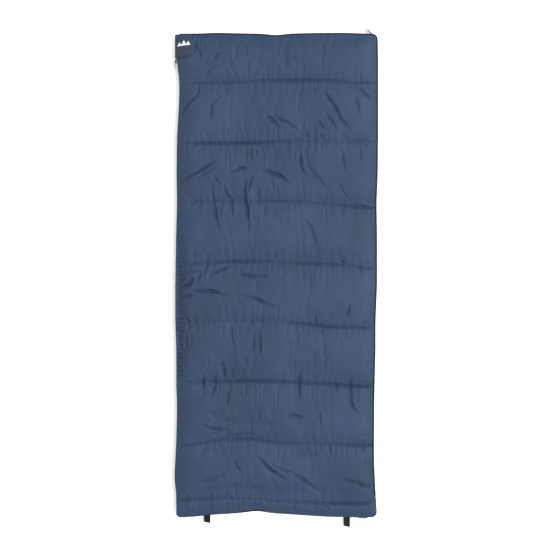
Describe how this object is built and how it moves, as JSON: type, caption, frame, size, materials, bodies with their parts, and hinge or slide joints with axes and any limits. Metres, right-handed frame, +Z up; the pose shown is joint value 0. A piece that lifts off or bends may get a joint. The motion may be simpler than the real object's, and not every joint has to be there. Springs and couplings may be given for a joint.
{
  "type": "rectangular sleeping bag",
  "caption": "Rectangular quilted sleeping bag, closed and flat, with a zip round one side and the foot, a closure flap at the head and webbing loops.",
  "frame": {"origin": "centre of the underside of the bag, on the surface it lies on", "axes": "+Y to the head end, -X to the zip side, +X to the fold side, +Z up"},
  "size_m": [0.801, 1.9594, 0.0554],
  "materials": {
    "shell_fabric": "satin polyester taffeta",
    "hollow_fibre": "matte fill",
    "lining_fabric": "satin polyester",
    "thread": "matte thread",
    "binding_tape": "matte woven tape",
    "zip_tape": "matte woven tape",
    "zip_teeth": "moulded nylon",
    "zip_metal": "plain",
    "slider_metal": "semi-gloss black",
    "hook_and_loop": "matte pile",
    "label_fabric": "matte satin",
    "flap_fabric": "satin polyester",
    "badge_print": "matte print",
    "pull_plastic": "moulded",
    "webbing": "woven polypropylene"
  },
  "bodies": {
    "back": {"back_shell": "shell_fabric", "back_batting": "hollow_fibre", "back_lining": "lining_fabric", "back_quilting_thread": "thread", "back_head_binding": "binding_tape", "back_fold_binding": "binding_tape", "back_zip_tape": "zip_tape", "back_zip_teeth": "zip_teeth", "back_zip_stops": "zip_metal", "velcro_loop_patch": "hook_and_loop", "care_label": "label_fabric"},
    "cover": {"cover_shell": "shell_fabric", "cover_batting": "hollow_fibre", "cover_lining": "lining_fabric", "cover_quilting_thread": "thread", "cover_head_binding": "binding_tape", "cover_fold_binding": "binding_tape", "cover_zip_tape": "zip_tape", "cover_zip_teeth": "zip_teeth", "cover_zip_stops": "zip_metal", "flap_base": "flap_fabric", "flap_badge": "badge_print"},
    "flap": {"closure_flap": "flap_fabric", "velcro_hook_patch": "hook_and_loop"},
    "side_slider": {"side_slider": "slider_metal", "side_slider_pin": "zip_metal"},
    "side_pull": {"side_pull": "pull_plastic"},
    "foot_slider": {"foot_slider": "slider_metal", "foot_slider_pin": "zip_metal"},
    "foot_pull": {"foot_pull": "pull_plastic"},
    "left_foot_loop": {"left_foot_loop": "webbing"},
    "right_foot_loop": {"right_foot_loop": "webbing"},
    "head_loop": {"head_loop": "webbing"}
  },
  "joints": [
    {"name": "cover_fold", "type": "hinge", "parent": "back", "child": "cover", "pos_m": [0.3975, 0, 0.028], "axis": [0, 1, 0], "range_deg": [0, 180]},
    {"name": "flap_lift", "type": "hinge", "parent": "cover", "child": "flap", "pos_m": [-0.4016, 0.902, 0.042], "axis": [0, 1, 0], "range_deg": [0, 180]},
    {"name": "side_zip_run", "type": "slide", "parent": "back", "child": "side_slider", "axis": [0, -1, 0], "range_m": [0, 1.735]},
    {"name": "side_pull_swing", "type": "hinge", "parent": "side_slider", "child": "side_pull", "pos_m": [-0.4021, 0.8435, 0.028], "axis": [0, 0, -1], "range_deg": [0, 150]},
    {"name": "foot_zip_run", "type": "slide", "parent": "back", "child": "foot_slider", "axis": [-1, 0, 0], "range_m": [0, 0.695]},
    {"name": "foot_pull_swing", "type": "hinge", "parent": "foot_slider", "child": "foot_pull", "pos_m": [0.35, -0.9571, 0.028], "axis": [0, 0, 1], "range_deg": [0, 150]},
    {"name": "left_foot_loop_bend", "type": "hinge", "parent": "back", "child": "left_foot_loop", "pos_m": [-0.276, -0.9534, 0.008], "axis": [-1, 0, 0], "range_deg": [-80, 75]},
    {"name": "right_foot_loop_bend", "type": "hinge", "parent": "back", "child": "right_foot_loop", "pos_m": [0.276, -0.9534, 0.008], "axis": [-1, 0, 0], "range_deg": [-80, 75]},
    {"name": "head_loop_bend", "type": "hinge", "parent": "back", "child": "head_loop", "pos_m": [0.375, 0.9534, 0.017], "axis": [0, 0, 1], "range_deg": [-90, 20]}
  ]
}
